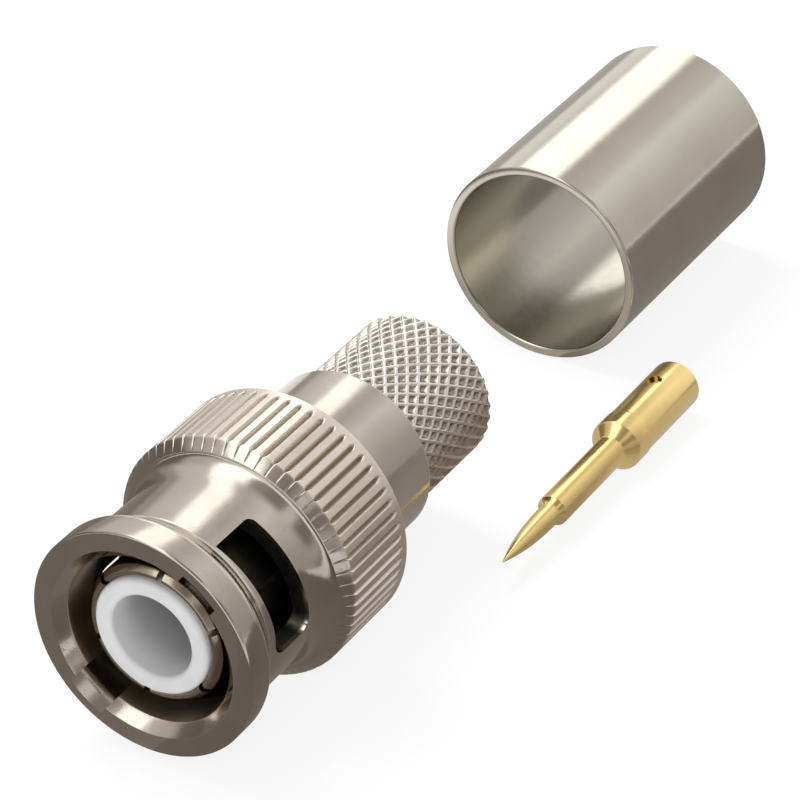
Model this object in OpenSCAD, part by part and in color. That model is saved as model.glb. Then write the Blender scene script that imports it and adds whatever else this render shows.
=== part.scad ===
// Bayonet-coupled coaxial crimp plug with its loose crimp sleeve and centre contact.
// The axis runs along X: the mating mouth is at x = 0 and the cable leaves towards +X.
// Everything lies on one flat surface, with +Z up.

/* [Coupling nut] */
// Length of the coupling nut
nut_len = 14.2; // [13.8:0.1:16]
// Diameter over the straight knurl
nut_d = 14.4; // [14.2:0.1:16]
// Bore that takes the mating barrel
mouth_d = 9.8; // [9.7:0.05:9.95]
// Width of the lead-in at the mouth
mouth_chamfer = 0.62; // [0.3:0.02:0.65]
// Diameter of the front flange
flange_d = 13.3; // [12.9:0.1:13.6]
// Length of the front flange, up to its rear blend
flange_len = 1.6; // [1.2:0.1:1.7]
// Length of the blend from the flange down to the neck
flange_blend = 1.3; // [0.8:0.1:1.4]
// Rounding of the flange's front rim
rim_round = 0.15; // [0.1:0.05:0.4]
// Diameter of the neck
neck_d = 11.8; // [11.7:0.05:12.2]
// Distance from the mouth to the knurled ring's shoulder
shoulder_x = 8.25; // [8.2:0.05:8.6]
// Length of the hollow fillet between neck and shoulder
shoulder_fillet = 1.6; // [0.6:0.1:1.6]
// Length of the bevel between shoulder and knurl
bevel_len = 0.6; // [0.3:0.05:0.8]
// Height of that bevel
bevel_h = 0.6; // [0.1:0.05:0.8]

/* [Straight knurl] */
// Number of grooves
knurl_count = 64; // [48:1:72]
// Depth of a groove
knurl_depth = 0.26; // [0.1:0.02:0.36]
// Width of a groove at its top
knurl_width = 0.34; // [0.2:0.02:0.4]
// Length of the run-out at each end of a groove
knurl_runout = 0.45; // [0.2:0.05:0.6]
// How far the grooves lap over the bevel in front of them
knurl_front_lap = 0.1; // [0.05:0.01:0.3]
// Plain band behind the knurl
rear_band = 0.35; // [0.2:0.05:1]
// Bevel of the nut's rear edge
rear_bevel = 0.2; // [0.05:0.05:0.3]

/* [Bayonet slots] */
// Angle of the first entry groove, from +Y towards +Z
groove_angle = 128; // [0:1:179]
// Width of an entry groove
groove_w = 2.3; // [2.1:0.05:2.5]
// Diameter across the floors of the two entry grooves
groove_d = 11.2; // [11.1:0.05:11.3]
// Flare of the groove's floor at the mouth
groove_flare = 0.45; // [0.1:0.05:0.5]
// Length of that flare
groove_flare_len = 0.9; // [0.4:0.1:1.5]
// Front edge of a slot where its ramp starts
slot_x = 3.05; // [3:0.05:3.2]
// Width of a slot
slot_w = 3.05; // [2.6:0.05:3.1]
// Rise of the ramp over the whole slot
slot_rise = 0.45; // [0.2:0.05:0.5]
// Angle that a slot sweeps
slot_arc = 70; // [55:1:90]
// Rounding of a slot's blind corners
slot_corner = 0.9; // [0.3:0.1:1.1]
// Rounding of the rear corner at the slot's start
slot_start_corner = 0.45; // [0.1:0.05:0.8]
// Depth of the seat that holds the lug
seat_depth = 0.18; // [0.05:0.01:0.3]
// Length of that seat along the slot
seat_len = 2.2; // [1.5:0.1:3]

/* [Spring pack] */
// Bore of the chamber behind the nut's inner shoulder
chamber_d = 11.9; // [11.8:0.05:12.2]
// Thickness of a wave washer's strip
wave_t = 0.25; // [0.15:0.01:0.3]
// Height left in a wave washer's waves when the nut is drawn fully forward
wave_left = 0.38; // [0.1:0.02:0.4]
// Waves round a washer
wave_count = 3; // [3:1:5]
// Thickness of the flat washer
washer_t = 0.5; // [0.3:0.05:0.6]
// Thickness of the retaining ring
ring_t = 0.6; // [0.4:0.05:0.7]
// Depth of the ring's groove in the chamber wall
ring_groove = 0.45; // [0.3:0.05:0.5]
// Radial width of the retaining ring
ring_w = 1.02; // [0.8:0.01:1.05]
// Gap between the retaining ring's ends
ring_gap = 2.4; // [1:0.1:4]

/* [Plug body] */
// Distance from the mouth to the body's flange
body_x = 9; // [8.95:0.05:9.2]
// Thickness of that flange
body_flange_t = 1.2; // [0.8:0.1:1.3]
// Diameter of the smooth collar
collar_d = 10.14; // [9.9:0.02:10.2]
// Rear end of the collar
collar_end = 20.1; // [18:0.1:22]
// Diameter over the crimp stem's ridges
stem_d = 9.1; // [8.9:0.05:9.4]
// Length of the crimp stem
stem_len = 7.5; // [6:0.1:9]
// Bore for the cable's dielectric
cable_bore_d = 7.4; // [7:0.05:7.5]
// Depth of the pits between the stem's crossed ridges
pit_depth = 0.22; // [0.1:0.02:0.3]
// Pits round the stem
pit_count = 36; // [24:1:44]
// Half of a pit's length along the stem
pit_half = 0.57; // [0.4:0.01:0.8]

/* [Contact and insulators] */
// Distance from the mouth to the outer contact
contact_x = 1.05; // [0.9:0.05:1.5]
// Diameter of the outer contact
contact_d = 8.1; // [8:0.05:8.12]
// Wall of the outer contact
contact_wall = 0.6; // [0.4:0.05:0.7]
// Spring fingers of the outer contact
finger_count = 6; // [4:1:8]
// Length of the slots between the fingers
finger_len = 6.9; // [4:0.1:7]
// Width of those slots
finger_gap = 0.35; // [0.2:0.05:0.5]
// Depth of the outer contact's seat in the body
contact_seat = 4; // [2:0.1:5]
// Distance from the mouth to the front insulator
insulator_x = 0.8; // [0.6:0.05:1]
// Bore of the front insulator
insulator_bore_d = 4.8; // [4.7:0.05:4.9]
// Depth of that bore
insulator_bore_len = 5.2; // [4:0.1:6]
// Thickness of the rear insulator
bead_t = 1.4; // [1:0.1:2]
// How much narrower its seat is than the cable bore, on the radius
bead_step = 0.3; // [0.05:0.05:0.4]
// Thickness of the sealing gasket
gasket_t = 0.95; // [0.5:0.05:1]

/* [Crimp sleeve] */
// Outer diameter of the crimp sleeve
sleeve_d = 12.6; // [12:0.1:13.2]
// Wall of the sleeve
sleeve_wall = 0.55; // [0.4:0.05:0.7]
// Length of the sleeve
sleeve_len = 17.7; // [12:0.1:20]
// Lead-in at the sleeve's mouths
sleeve_lead = 0.2; // [0.05:0.05:0.3]
// Free space between the plug and the lying sleeve
sleeve_space = 16.1; // [5:0.5:30]
// Sideways place of the lying sleeve
sleeve_side = 1.45; // [-2:0.1:2]

/* [Centre contact] */
// Length of the contact's pointed tip
tip_len = 5.6; // [4:0.1:6]
// Diameter at the tip's foot
tip_d = 1.3; // [1.1:0.05:1.4]
// Diameter of the shaft
shaft_d = 1.86; // [1.7:0.02:2]
// Length of the shaft
shaft_len = 7.6; // [6:0.1:9]
// Diameter of the barrel
barrel_d = 3.16; // [2.9:0.02:3.2]
// Length of the barrel
barrel_len = 7.5; // [5:0.1:8]
// Length of the collar at the barrel's front
barrel_collar_len = 1.3; // [0.8:0.1:2]
// Height of that collar
barrel_collar_h = 0.06; // [0.02:0.01:0.1]
// Bore for the cable's inner conductor
well_d = 2.3; // [2.1:0.05:2.5]
// Depth of that bore
well_len = 4.4; // [4:0.1:5.5]
// Diameter of the inspection hole
peep_d = 0.9; // [0.6:0.05:1.2]
// Distance of the inspection hole from the barrel's rear
peep_x = 2.3; // [1:0.1:4]
// Lengthways place of the lying contact's point
pin_x = 22.2; // [18:0.1:30]
// Sideways place of the lying contact
pin_side = -8.35; // [-14:0.1:-7.6]

/* [Fits] */
// Gap of a pressed joint
press_gap = 0.02; // [0.01:0.005:0.03]
// Radial gap between parts that turn or slide
run_gap = 0.1; // [0.05:0.01:0.12]
// Gap between stacked faces
face_gap = 0.03; // [0.02:0.01:0.05]
// Forward travel of the nut against its springs
nut_travel = 0.7; // [0.3:0.05:0.8]

/* [Hidden] */
$fn = 96;
// Overshoot of a cut beyond the face that it opens
cut = 1;
// Steps of a rounded profile
round_steps = 8;
// Steps along a bayonet slot
slot_steps = 32;
// Steps round one wave of a washer
wave_steps = 16;

nut_r = nut_d / 2;
mouth_r = mouth_d / 2;
flange_r = flange_d / 2;
neck_r = neck_d / 2;
shoulder_r = nut_r - bevel_h;
groove_r = groove_d / 2;
chamber_r = chamber_d / 2;
collar_r = collar_d / 2;
stem_r = stem_d / 2;
contact_r = contact_d / 2;
bore_r = cable_bore_d / 2;
bead_r = bore_r - bead_step;
floor_z = -nut_r;

// Places along the axis, from the mouth to the cable
knurl_x = shoulder_x + bevel_len;
knurl_end = nut_len - rear_bevel - rear_band;
body_back = body_x + body_flange_t;
chamber_x = body_x - run_gap;
wave_h = wave_t + nut_travel / 2 + wave_left;
wave_1_x = body_back + face_gap;
wave_2_x = wave_1_x + wave_h + face_gap;
washer_x = wave_2_x + wave_h + face_gap;
ring_x = washer_x + washer_t + face_gap;
ring_back = ring_x + ring_t;
stem_end = collar_end + stem_len;
seat_end = body_x + contact_seat;
contact_end = seat_end - face_gap;
bead_x = seat_end;
bead_end = bead_x + bead_t;
gasket_x = body_x - gasket_t;

// Radii of the washers that pass over the collar and fit the chamber
washer_in_r = collar_r + run_gap;
washer_out_r = chamber_r - run_gap;
ring_out_r = chamber_r + ring_groove - run_gap / 2;
ring_in_r = ring_out_r - ring_w;
insulator_r = contact_r - contact_wall - press_gap;
pin_hole_r = shaft_d / 2 + run_gap;

// Turns a profile of [radius, x] points about the plug's axis
module turned() {
    rotate([0, 90, 0])
        rotate_extrude()
            children();
}

// Copies its children round the axis
module around(count, first = 0) {
    for (i = [0:count - 1])
        rotate([first + i * 360 / count, 0, 0])
            children();
}

// Points of a quarter ellipse from angle a to angle b, centred on [radius, x]
function quarter(centre, size, a, b) =
    [for (i = [0:round_steps])
        let (t = a + (b - a) * i / round_steps)
        [centre[0] + size[0] * cos(t), centre[1] + size[1] * sin(t)]];

// Radius of the smooth run from the flange down to the neck
function blend_r(t) = neck_r + (flange_r - neck_r) * (1 + cos(180 * t)) / 2;

// A ring between two radii, from x0 to x1, with its edges bevelled by c
module ring(r0, r1, x0, x1, c = 0.05) {
    turned()
        polygon([[r0, x0 + c], [r0 + c, x0], [r1 - c, x0], [r1, x0 + c],
                 [r1, x1 - c], [r1 - c, x1], [r0 + c, x1], [r0, x1 - c]]);
}

// Outside of the coupling nut: flange, neck, shoulder and the ring that is knurled
module nut_outside() {
    blend = [for (i = [0:round_steps])
        [blend_r(i / round_steps), flange_len + flange_blend * i / round_steps]];
    turned()
        polygon(concat(
            [[0, 0]],
            quarter([flange_r - rim_round, rim_round], [rim_round, rim_round], -90, 0),
            blend,
            quarter([shoulder_r, shoulder_x - shoulder_fillet],
                    [-(shoulder_r - neck_r), shoulder_fillet], 0, 90),
            [[nut_r, knurl_x], [nut_r, nut_len - rear_bevel],
             [nut_r - rear_bevel, nut_len], [0, nut_len]]));
}

// Inside of the coupling nut: lead-in, mating bore, chamber and ring groove
module nut_inside() {
    ring_seat_r = chamber_r + ring_groove;
    turned()
        polygon([[0, -cut], [mouth_r + mouth_chamfer + cut, -cut], [mouth_r, mouth_chamfer],
                 [mouth_r, chamber_x], [chamber_r, chamber_x],
                 [chamber_r, ring_x - face_gap], [ring_seat_r, ring_x - face_gap],
                 [ring_seat_r, ring_back + face_gap], [chamber_r, ring_back + face_gap],
                 [chamber_r, nut_len - rear_bevel], [chamber_r + rear_bevel + cut, nut_len + cut],
                 [0, nut_len + cut]]);
}

// One axial way in for a lug of the mating barrel, flared at the mouth
module entry_groove() {
    floor_end = slot_x + slot_w / 2;
    intersection() {
        turned()
            polygon([[0, -cut], [groove_r + groove_flare, -cut],
                     [groove_r + groove_flare, 0], [groove_r, groove_flare_len],
                     [groove_r, floor_end], [0, floor_end]]);
        translate([-2 * cut, 0, -groove_w / 2])
            cube([floor_end + 3 * cut, nut_r, groove_w]);
    }
}

// Inset of an edge within radius r of a corner, e along the edge from it
function inset(r, e) = e < r ? r - sqrt(r * r - (r - e) * (r - e)) : 0;

// Distances along the slot from angle a to its blind end and to its start
function to_end(a) = (slot_arc - a) * PI / 180 * neck_r;
function to_start(a) = a * PI / 180 * neck_r;

// Dip of the ramp where the lug comes to rest
function seat_dip(a) = let (t = max(0, 1 - to_end(a) / seat_len)) seat_depth * (1 - cos(180 * t)) / 2;

// Front and rear edge of the slot at angle a from its start
function ramp_x(a) = slot_x + slot_rise * a / slot_arc;
function slot_front(a) = ramp_x(a) - seat_dip(a) + inset(slot_corner, to_end(a));
function slot_rear(a) =
    ramp_x(a) + slot_w - inset(slot_corner, to_end(a)) - inset(slot_start_corner, to_start(a));

// Four corners of the slot's cutter at angle a: inner front, outer front, outer rear, inner rear
function slot_ring(a, r0, r1) =
    [for (c = [[r0, slot_front(a)], [r1, slot_front(a)], [r1, slot_rear(a)], [r0, slot_rear(a)]])
        [c[1], c[0] * cos(a), c[0] * sin(a)]];

// Solid swept through rings of four points, open or closed on itself
module swept(rings, closed = false) {
    n = len(rings);
    last = closed ? n - 1 : n - 2;
    sides = [for (i = [0:last], k = [0:3])
        let (j = (i + 1) % n, m = (k + 1) % 4)
        [4 * i + k, 4 * i + m, 4 * j + m, 4 * j + k]];
    ends = closed ? [] : [[3, 2, 1, 0], [for (k = [0:3]) 4 * (n - 1) + k]];
    polyhedron([for (r = rings, p = r) p], concat(sides, ends), convexity = 8);
}

// One helical slot through the neck, from an entry groove to the seat of the lug
module bayonet_slot() {
    inner_r = mouth_r - run_gap;
    outer_r = flange_r + run_gap;
    swept([for (i = [0:slot_steps])
        slot_ring(slot_arc * (1 - cos(180 * i / slot_steps)) / 2, inner_r, outer_r)]);
}

// One straight knurl groove with a sloping run-out at each end
module knurl_groove() {
    // The cutter stands proud of the nut by as much as the groove is deep, and its root
    // leaves the metal at share 0 of the depth and ends well clear of it
    top = nut_r + knurl_depth;
    clear = -0.8;
    front = knurl_x - knurl_front_lap;
    rings = [for (e = [[front + clear * knurl_runout, clear], [front + knurl_runout, 1],
                       [knurl_end - knurl_runout, 1], [knurl_end - clear * knurl_runout, clear]])
        let (w = knurl_width * (1 + e[1]) / 2)
        [[e[0], nut_r - knurl_depth * e[1], 0], [e[0], top, -w], [e[0], top, w]]];
    sides = [for (i = [0:2], k = [0:2])
        let (m = (k + 1) % 3)
        [3 * i + k, 3 * i + 3 + k, 3 * i + 3 + m, 3 * i + m]];
    polyhedron([for (r = rings, p = r) p], concat(sides, [[0, 1, 2], [11, 10, 9]]));
}

// The nut that turns and draws the plug onto the mating barrel
module coupling_nut() {
    slot_lead = asin(groove_w / 2 / neck_r);
    color([0.78, 0.76, 0.71])
        difference() {
            nut_outside();
            nut_inside();
            around(2, groove_angle)
                entry_groove();
            around(2, groove_angle - slot_lead)
                bayonet_slot();
            around(knurl_count, 180 / knurl_count)
                knurl_groove();
        }
}

// Open spring ring that snaps into the nut's groove
module retaining_ring() {
    color([0.62, 0.61, 0.58])
        difference() {
            ring(ring_in_r, ring_out_r, ring_x, ring_back);
            translate([ring_x - cut, 0, -ring_gap / 2])
                cube([ring_t + 2 * cut, ring_out_r + cut, ring_gap]);
        }
}

// Flat washer between the springs and the retaining ring
module thrust_washer() {
    color([0.7, 0.69, 0.66])
        ring(washer_in_r, washer_out_r, washer_x, washer_x + washer_t);
}

// Wave spring washer from x0 to x0 + wave_h, turned by the angle a
module wave_washer(x0, a = 0) {
    n = wave_count * wave_steps;
    swing = (wave_h - wave_t) / 2;
    color([0.6, 0.59, 0.56])
        rotate([a, 0, 0])
            swept([for (i = [0:n - 1])
                let (t = 360 * i / n, x = x0 + swing * (1 + sin(wave_count * t)))
                [for (c = [[washer_in_r, x], [washer_out_r, x],
                           [washer_out_r, x + wave_t], [washer_in_r, x + wave_t]])
                    [c[1], c[0] * cos(t), c[0] * sin(t)]]], closed = true);
}

module wave_washer_front() {
    wave_washer(wave_1_x);
}

// The rear washer's hollows stand on the front washer's crests
module wave_washer_rear() {
    wave_washer(wave_2_x, 180 / wave_count);
}

// Crossed ridges of the crimp stem, with a four-sided pit in every mesh and a bevel at the end
module stem_ridges(x0, x1, bevel) {
    rows = floor((x1 - bevel - x0) / pit_half);
    step = (x1 - bevel - x0) / rows;
    n = 2 * pit_count;
    points = [for (j = [0:rows + 1], i = [0:n - 1])
        let (r = j <= rows && (i + j) % 2 == 0 ? stem_r : stem_r - pit_depth,
             x = j <= rows ? x0 + j * step : x1, a = 360 * i / n)
        [x, r * cos(a), r * sin(a)]];
    cells = [for (j = [0:rows], i = [0:n - 1])
        let (p = j * n + i, q = j * n + (i + 1) % n)
        (i + j) % 2 == 0
            ? [[p, q + n, q], [p, p + n, q + n]]
            : [[p, p + n, q], [q, p + n, q + n]]];
    ends = [[for (i = [0:n - 1]) i], [for (i = [n - 1:-1:0]) (rows + 1) * n + i]];
    polyhedron(points, concat([for (c = cells, t = c) t], ends), convexity = 8);
}

// Turned body: flange under the nut, smooth collar and ridged crimp stem
module plug_body() {
    edge = 0.15;
    flange_out_r = chamber_r - run_gap;
    color([0.77, 0.75, 0.7])
        difference() {
            union() {
                turned()
                    polygon([[0, body_x], [flange_out_r - edge, body_x],
                             [flange_out_r, body_x + edge], [flange_out_r, body_back - edge],
                             [flange_out_r - edge, body_back], [collar_r, body_back],
                             [collar_r, collar_end - edge], [collar_r - edge, collar_end],
                             [0, collar_end]]);
                stem_ridges(collar_end - edge, stem_end, edge);
            }
            turned()
                polygon([[0, body_x - cut], [contact_r + press_gap, body_x - cut],
                         [contact_r + press_gap, seat_end], [bead_r, seat_end],
                         [bead_r, bead_end], [bore_r, bead_end],
                         [bore_r, stem_end - edge], [bore_r + edge + cut, stem_end + cut],
                         [0, stem_end + cut]]);
        }
}

// Rubber ring that seals against the end of the mating barrel
module gasket() {
    color([0.12, 0.12, 0.12])
        ring(contact_r + run_gap, mouth_r - run_gap, gasket_x, body_x, 0.12);
}

// Tube of spring fingers that makes contact inside the mating barrel
module outer_contact() {
    lip = 0.15;
    inner_r = contact_r - contact_wall;
    color([0.8, 0.78, 0.73])
        difference() {
            turned()
                polygon([[inner_r + lip, contact_x], [contact_r - 2 * lip, contact_x],
                         [contact_r, contact_x + 2 * lip], [contact_r, contact_end],
                         [inner_r, contact_end], [inner_r, contact_x + lip]]);
            around(finger_count, groove_angle - 180 / finger_count)
                translate([contact_x - cut, 0, -finger_gap / 2])
                    cube([finger_len + cut, contact_r + cut, finger_gap]);
        }
}

// White insulator that fills the outer contact and holds the centre contact's shaft
module front_insulator() {
    lead = 0.25;
    bore = insulator_bore_d / 2;
    bore_end = insulator_x + insulator_bore_len;
    color([0.93, 0.93, 0.95])
        turned()
            polygon([[bore + lead, insulator_x], [insulator_r - lead, insulator_x],
                     [insulator_r, insulator_x + lead], [insulator_r, contact_end],
                     [pin_hole_r, contact_end], [pin_hole_r, bore_end], [bore, bore_end],
                     [bore, insulator_x + lead]]);
}

// Disc behind the front insulator that the centre contact's barrel seats against
module rear_insulator() {
    color([0.93, 0.93, 0.95])
        ring(pin_hole_r, bead_r - press_gap, bead_x, bead_end, 0.08);
}

// Plain ferrule that is crimped over the cable's braid, lying beside the plug
module crimp_sleeve() {
    r = sleeve_d / 2;
    inner = r - sleeve_wall;
    edge = sleeve_lead / 2;
    color([0.74, 0.72, 0.67])
        translate([stem_end + sleeve_space, sleeve_side, floor_z + r])
            turned()
                polygon([[inner + sleeve_lead, 0], [r - edge, 0], [r, edge],
                         [r, sleeve_len - edge], [r - edge, sleeve_len],
                         [inner + sleeve_lead, sleeve_len], [inner, sleeve_len - sleeve_lead],
                         [inner, sleeve_lead]]);
}

// Radius of the contact's tip at the share t of its length from the point
function tip_r(t) = tip_d / 2 * (1 - pow(1 - t, 2.4));

// Gilt pin with a pointed tip, a shaft and a barrel for the cable's inner conductor
module centre_contact() {
    tip_steps = 12;
    fillet = 0.2;
    edge = 0.12;
    shaft_r = shaft_d / 2;
    barrel_r = barrel_d / 2 - barrel_collar_h;
    seat_r = barrel_d / 2;
    well_r = well_d / 2;
    shaft_x = tip_len;
    barrel_x = shaft_x + shaft_len;
    end_x = barrel_x + barrel_len;
    well_x = end_x - well_len;
    // A drill point at the bottom of the well
    drill = well_r * tan(31);
    tip = [for (i = [0:tip_steps])
        let (t = i / tip_steps)
        [tip_r(t), (shaft_x - fillet) * t]];
    color([0.88, 0.72, 0.36])
        translate([pin_x, pin_side, floor_z + seat_r])
            difference() {
                turned()
                    polygon(concat(
                        tip,
                        [[shaft_r - edge, shaft_x], [shaft_r, shaft_x + edge],
                         [shaft_r, barrel_x - (seat_r - shaft_r)], [seat_r - edge, barrel_x - edge],
                         [seat_r, barrel_x + edge],
                         [seat_r, barrel_x + barrel_collar_len],
                         [barrel_r, barrel_x + barrel_collar_len + 2 * barrel_collar_h],
                         [barrel_r, end_x - edge], [barrel_r - edge, end_x], [0, end_x]]));
                turned()
                    polygon([[0, well_x - drill], [well_r, well_x], [well_r, end_x - edge],
                             [well_r + edge + cut, end_x + cut], [0, end_x + cut]]);
                translate([end_x - peep_x, 0, 0])
                    rotate([groove_angle - 50, 0, 0])
                        rotate([-90, 0, 0])
                            cylinder(d = peep_d, h = seat_r + cut);
            }
}

coupling_nut();
retaining_ring();
thrust_washer();
wave_washer_front();
wave_washer_rear();
plug_body();
gasket();
outer_contact();
front_insulator();
rear_insulator();
crimp_sleeve();
centre_contact();
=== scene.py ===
"""Bayonet coaxial crimp plug with its loose crimp sleeve and gilt centre contact."""

import math
from typing import NamedTuple

import bmesh
import bpy
import numpy as np
from bpy.props import FloatProperty, FloatVectorProperty, IntProperty, PointerProperty
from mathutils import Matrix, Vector


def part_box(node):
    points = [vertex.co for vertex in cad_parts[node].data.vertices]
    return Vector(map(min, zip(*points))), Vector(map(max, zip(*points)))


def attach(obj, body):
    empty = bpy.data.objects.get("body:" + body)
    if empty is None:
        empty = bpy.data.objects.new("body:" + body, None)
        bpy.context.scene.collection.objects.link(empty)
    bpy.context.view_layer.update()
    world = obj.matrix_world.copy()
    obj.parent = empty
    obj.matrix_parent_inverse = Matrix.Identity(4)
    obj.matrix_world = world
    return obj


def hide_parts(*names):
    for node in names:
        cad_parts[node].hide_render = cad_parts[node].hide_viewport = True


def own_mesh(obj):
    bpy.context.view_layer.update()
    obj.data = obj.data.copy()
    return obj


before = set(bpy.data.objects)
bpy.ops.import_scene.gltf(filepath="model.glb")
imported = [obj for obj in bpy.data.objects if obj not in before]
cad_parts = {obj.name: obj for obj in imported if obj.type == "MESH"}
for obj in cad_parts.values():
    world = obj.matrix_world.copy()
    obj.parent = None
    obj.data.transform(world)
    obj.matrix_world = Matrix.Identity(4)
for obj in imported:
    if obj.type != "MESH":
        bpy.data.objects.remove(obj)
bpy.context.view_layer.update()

bl_info = {
    "name": "Bayonet Crimp Plug",
    "version": (1, 0, 0),
    "blender": (4, 5, 0),
    "location": "View3D > Sidebar > Plug",
    "description": "Builds a bayonet crimp plug with its sleeve, contact, finishes and studio",
    "category": "Object",
}

MM = 0.001
FLOOR_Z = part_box("coupling_nut")[0].z

# All lengths from here on are in millimetres. Places along the axis are measured from the mouth

# Plug body: radii, then places along the axis
BODY_FLANGE_R, COLLAR_R, STEM_R, BORE_R = 5.85, 5.07, 4.55, 3.7
CONTACT_SEAT_R, BEAD_SEAT_R = 4.07, 3.4
BODY_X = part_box("plug_body")[0].x / MM
BODY_FLANGE_END = BODY_X + 1.2
COLLAR_END = 20.1
STEM_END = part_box("plug_body")[1].x / MM
CONTACT_SEAT_END, BEAD_SEAT_END = 13.0, 14.4

# Coupling nut: radii, then places along the axis
NUT_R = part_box("coupling_nut")[1].z / MM
MOUTH_R, GROOVE_R, NECK_R, FLANGE_R = 4.9, 5.6, 5.9, 6.65
SHOULDER_R = NUT_R - 0.6
CHAMBER_R, RING_GROOVE_R = 5.95, 6.4
NUT_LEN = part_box("coupling_nut")[1].x / MM
LEAD_IN, REAR_BEVEL = 0.62, 0.2
FLANGE_BACK, FILLET_LEN = 1.45, 1.55
SHOULDER_X, SHOULDER_LEN = 6.65, 1.6
BEVEL_X, KNURL_X = 8.25, 8.85
CHAMBER_X = BODY_X - 0.1
RING_GROOVE_X, RING_GROOVE_END = 12.75, 13.41
# The knurl's grooves: where they start and end, and how long they run out
GROOVES_X, GROOVES_END, RUN_OUT = 8.75, 13.65, 0.45
# Points along the knurl, closer together where its grooves run out
KNURL_POINTS = (9.0, 9.08, 9.2, 10.6, 12.0, 13.2, 13.3, 13.4, 13.5, 13.58, 13.65, 13.72)

# Bayonet track: the entry groove's angle and half its width, then the slot and the lug's seat in it
GROOVE_ANGLE = math.radians(128)
LUG_HALF = 1.15
SLOT_ARC = 70.0
SLOT_X, SLOT_WIDTH, SLOT_RISE = 3.05, 3.05, 0.45
SEAT_DEPTH, SEAT_REACH = 0.18, 2.2
END_ROUNDING, START_ROUNDING = 0.9, 0.45

# Outer contact and insulator
CONTACT_R, CONTACT_BORE_R = 4.05, 3.45
FINGERS, FINGER_LEN, FINGER_GAP = 6, 6.9, 0.35
INSULATOR_R, INSULATOR_BORE_R, PIN_HOLE_R = 3.43, 2.4, 1.03
INSULATOR_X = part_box("front_insulator")[0].x / MM
INSULATOR_BORE_END = 6.0

# Wave washers
WAVE_BORE_R, WAVE_R, WAVE_T, WAVE_EDGE = 5.17, 5.85, 0.25, 0.03
WAVES = 3

# Crimp sleeve and centre contact
SLEEVE_WALL = 0.55
TIP_R, TIP_LEN, SHAFT_R = 0.65, 5.6, 0.93
BARREL_X, BARREL_COLLAR_LEN, BARREL_STEP = 13.2, 1.3, 0.06
WELL_R, WELL_DEPTH, DRILL_ANGLE = 1.15, 4.4, math.radians(31)
PEEP_R, PEEP_FROM_END, PEEP_ANGLE = 0.45, 2.3, math.radians(78)


class PlugSizes(bpy.types.PropertyGroup):
    """Sizes of the plug's knurls."""

    knurls: IntProperty(
        name="Knurls", description="Straight grooves round the coupling nut",
        default=64, min=24, max=96,
    )
    knurl_depth: FloatProperty(
        name="Knurl depth", description="Depth of one groove of the nut",
        default=0.26 * MM, min=0, max=0.4 * MM, unit="LENGTH", precision=5,
    )
    knurl_width: FloatProperty(
        name="Knurl width", description="Half the width of one groove of the nut",
        default=0.17 * MM, min=0.05 * MM, max=0.3 * MM, unit="LENGTH", precision=5,
    )
    stem_pits: IntProperty(
        name="Stem pits", description="Sunken diamonds round the crimp stem",
        default=36, min=12, max=60,
    )
    stem_rows: FloatProperty(
        name="Stem rows", description="Distance of the stem's diamonds along the axis",
        default=1.14 * MM, min=0.5 * MM, max=3 * MM, unit="LENGTH", precision=5,
    )
    stem_depth: FloatProperty(
        name="Stem depth", description="Depth of the stem's diamonds",
        default=0.2 * MM, min=0, max=0.4 * MM, unit="LENGTH", precision=5,
    )


class PlugColours(bpy.types.PropertyGroup):
    """Colours of the plug's finishes."""

    nickel: FloatVectorProperty(
        name="Nickel", description="Bright nickel plate", subtype="COLOR",
        default=(0.615, 0.568, 0.492), min=0, max=1,
    )
    steel: FloatVectorProperty(
        name="Steel", description="Spring steel of the washers and the ring", subtype="COLOR",
        default=(0.42, 0.41, 0.39), min=0, max=1,
    )
    gilt: FloatVectorProperty(
        name="Gilt", description="Gold plate of the centre contact", subtype="COLOR",
        default=(1.0, 0.765, 0.32), min=0, max=1,
    )
    insulator: FloatVectorProperty(
        name="Insulator", description="White insulator", subtype="COLOR",
        default=(0.66, 0.66, 0.67), min=0, max=1,
    )
    rubber: FloatVectorProperty(
        name="Rubber", description="Rubber of the gasket", subtype="COLOR",
        default=(0.028, 0.028, 0.03), min=0, max=1,
    )


# Shader maths -------------------------------------------------------------------------


class Value:
    """One output of a shader node, on which arithmetic adds Math nodes."""

    def __init__(self, shader, socket):
        self.shader, self.socket = shader, socket

    def _maths(self, operation, *values):
        return self.shader.node("ShaderNodeMath", {"operation": operation}, dict(enumerate(values)))

    def __add__(self, other):
        return self._maths("ADD", self, other)

    __radd__ = __add__

    def __sub__(self, other):
        return self._maths("SUBTRACT", self, other)

    def __rsub__(self, other):
        return self._maths("SUBTRACT", other, self)

    def __mul__(self, other):
        return self._maths("MULTIPLY", self, other)

    __rmul__ = __mul__

    def root(self):
        return self._maths("SQRT", self)

    def ramp(self, low, high, to_low=0.0, to_high=1.0):
        """Smooth step from to_low at low to to_high at high."""
        return self.shader.node(
            "ShaderNodeMapRange", {"interpolation_type": "SMOOTHSTEP"},
            {"Value": self, "From Min": low, "From Max": high, "To Min": to_low, "To Max": to_high},
        )


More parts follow.
